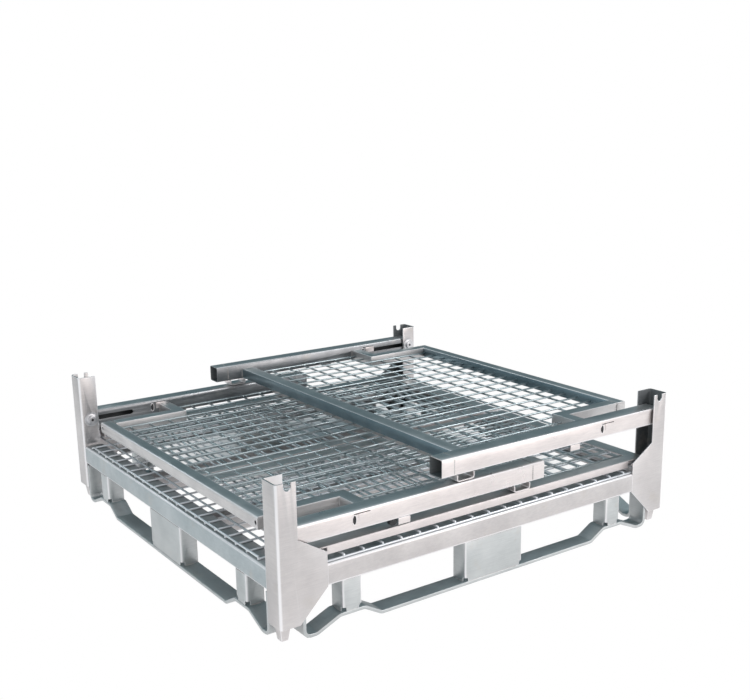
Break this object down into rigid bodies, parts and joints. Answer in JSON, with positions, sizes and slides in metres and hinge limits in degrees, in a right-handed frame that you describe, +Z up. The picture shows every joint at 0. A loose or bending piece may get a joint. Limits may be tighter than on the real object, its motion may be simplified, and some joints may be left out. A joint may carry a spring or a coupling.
{
  "type": "folding wire mesh container",
  "caption": "Folding wire mesh container in zinc plated steel, folded flat on its pallet base, with corner posts, feet, runners and hinged mesh walls.",
  "frame": {"origin": "centre of the footprint, on the ground under the runners", "axes": "+Z up; +X to the right along the longer side, from the left wall's pins to the right wall's; +Y to the rear"},
  "size_m": [1.156, 1.148, 0.354],
  "materials": {
    "post_steel": "zinc plated folded sheet, faint stains",
    "rail_steel": "zinc plated folded sheet",
    "block_steel": "zinc plated folded sheet",
    "runner_steel": "zinc plated flat bar",
    "tube_steel": "zinc plated square tube",
    "frame_steel": "zinc plated tube and sheet",
    "wire_steel": "zinc plated welded wire",
    "pin_steel": "zinc plated turned steel"
  },
  "bodies": {
    "base": {"corner_post_front_left": "post_steel", "corner_post_rear_left": "post_steel", "corner_post_front_right": "post_steel", "corner_post_rear_right": "post_steel", "stacking_foot_front_left": "post_steel", "stacking_foot_rear_left": "post_steel", "stacking_foot_front_right": "post_steel", "stacking_foot_rear_right": "post_steel", "pivot_pin_front_left": "pin_steel", "pivot_pin_rear_left": "pin_steel", "pivot_pin_front_right": "pin_steel", "pivot_pin_rear_right": "pin_steel", "base_rail_front": "rail_steel", "base_rail_rear": "rail_steel", "base_rail_left": "rail_steel", "base_rail_right": "rail_steel", "bearer_front": "rail_steel", "bearer_rear": "rail_steel", "floor_mesh": "wire_steel", "runner_front": "runner_steel", "runner_rear": "runner_steel", "runner_left": "runner_steel", "runner_right": "runner_steel", "centre_block_front": "block_steel", "centre_block_rear": "block_steel", "centre_block_left": "block_steel", "centre_block_right": "block_steel", "end_block_front_a": "block_steel", "end_block_front_b": "block_steel", "end_block_rear_a": "block_steel", "end_block_rear_b": "block_steel", "end_block_left_a": "block_steel", "end_block_left_b": "block_steel", "end_block_right_a": "block_steel", "end_block_right_b": "block_steel", "side_hinge_front": "pin_steel", "side_hinge_rear": "pin_steel"},
    "left_wall": {"left_wall_tube_front": "tube_steel", "left_wall_tube_rear": "tube_steel", "left_wall_keeper_front": "tube_steel", "left_wall_keeper_rear": "tube_steel", "left_wall_top_rail": "frame_steel", "left_wall_bottom_rail": "frame_steel", "left_wall_stile_front": "frame_steel", "left_wall_stile_rear": "frame_steel", "left_wall_mesh": "wire_steel"},
    "right_wall": {"right_wall_tube_front": "tube_steel", "right_wall_tube_rear": "tube_steel", "right_wall_keeper_front": "tube_steel", "right_wall_keeper_rear": "tube_steel", "right_wall_top_rail": "frame_steel", "right_wall_bottom_rail": "frame_steel", "right_wall_stile_front": "frame_steel", "right_wall_stile_rear": "frame_steel", "right_wall_mesh": "wire_steel"},
    "front_wall": {"front_wall_frame": "frame_steel", "front_wall_mesh": "wire_steel"},
    "rear_wall": {"rear_wall_frame": "frame_steel", "rear_wall_mesh": "wire_steel"}
  },
  "joints": [
    {"name": "right_wall_hinge", "type": "hinge", "parent": "base", "child": "right_wall", "pos_m": [0.55, 0, 0.2965], "axis": [0, 1, 0], "range_deg": [0, 90]},
    {"name": "left_wall_hinge", "type": "hinge", "parent": "base", "child": "left_wall", "pos_m": [-0.55, 0, 0.2325], "axis": [0, -1, 0], "range_deg": [0, 54]},
    {"name": "front_wall_hinge", "type": "hinge", "parent": "base", "child": "front_wall", "pos_m": [0, -0.553, 0.1805], "axis": [1, 0, 0], "range_deg": [0, 1.5]},
    {"name": "rear_wall_hinge", "type": "hinge", "parent": "base", "child": "rear_wall", "pos_m": [0, 0.553, 0.1805], "axis": [-1, 0, 0], "range_deg": [0, 1.5]}
  ],
  "couplings": [
    {"joint": "left_wall_hinge", "follows": "right_wall_hinge", "ratio": 0.6}
  ]
}
